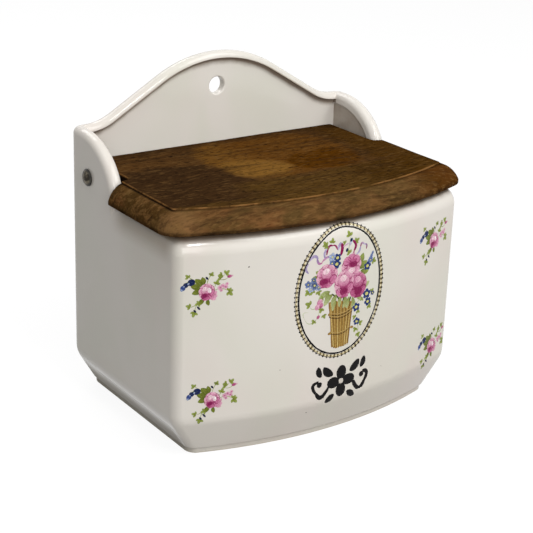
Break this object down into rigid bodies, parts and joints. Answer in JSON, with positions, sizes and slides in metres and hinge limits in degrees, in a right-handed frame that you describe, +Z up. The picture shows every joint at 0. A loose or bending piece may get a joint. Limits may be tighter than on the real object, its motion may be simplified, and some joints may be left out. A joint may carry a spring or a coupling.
{
  "type": "salt box with hinged lid",
  "caption": "Wall salt box: glazed earthenware body with bowed flowered front, ears and arched back, and a wooden lid hinged on metal pins",
  "frame": {"origin": "under the middle of the box, on the surface that it stands on", "axes": "+Z up, +Y towards the wall that the box hangs on, +X to the right of a person in front of it"},
  "size_m": [0.18, 0.1226, 0.1742],
  "materials": {
    "glaze": "glossy warm white glaze with small flower transfers on the front",
    "stained_wood": "dark stained beech, worn, satin",
    "dull_metal": "tarnished steel"
  },
  "bodies": {
    "box": {"body": "glaze"},
    "lid": {"lid": "stained_wood", "hinge_pin_left": "dull_metal", "hinge_pin_right": "dull_metal"}
  },
  "joints": [
    {"name": "lid_hinge", "type": "hinge", "parent": "box", "child": "lid", "pos_m": [0, 0.04025, 0.1212], "axis": [-1, 0, 0], "range_deg": [0, 98]}
  ]
}
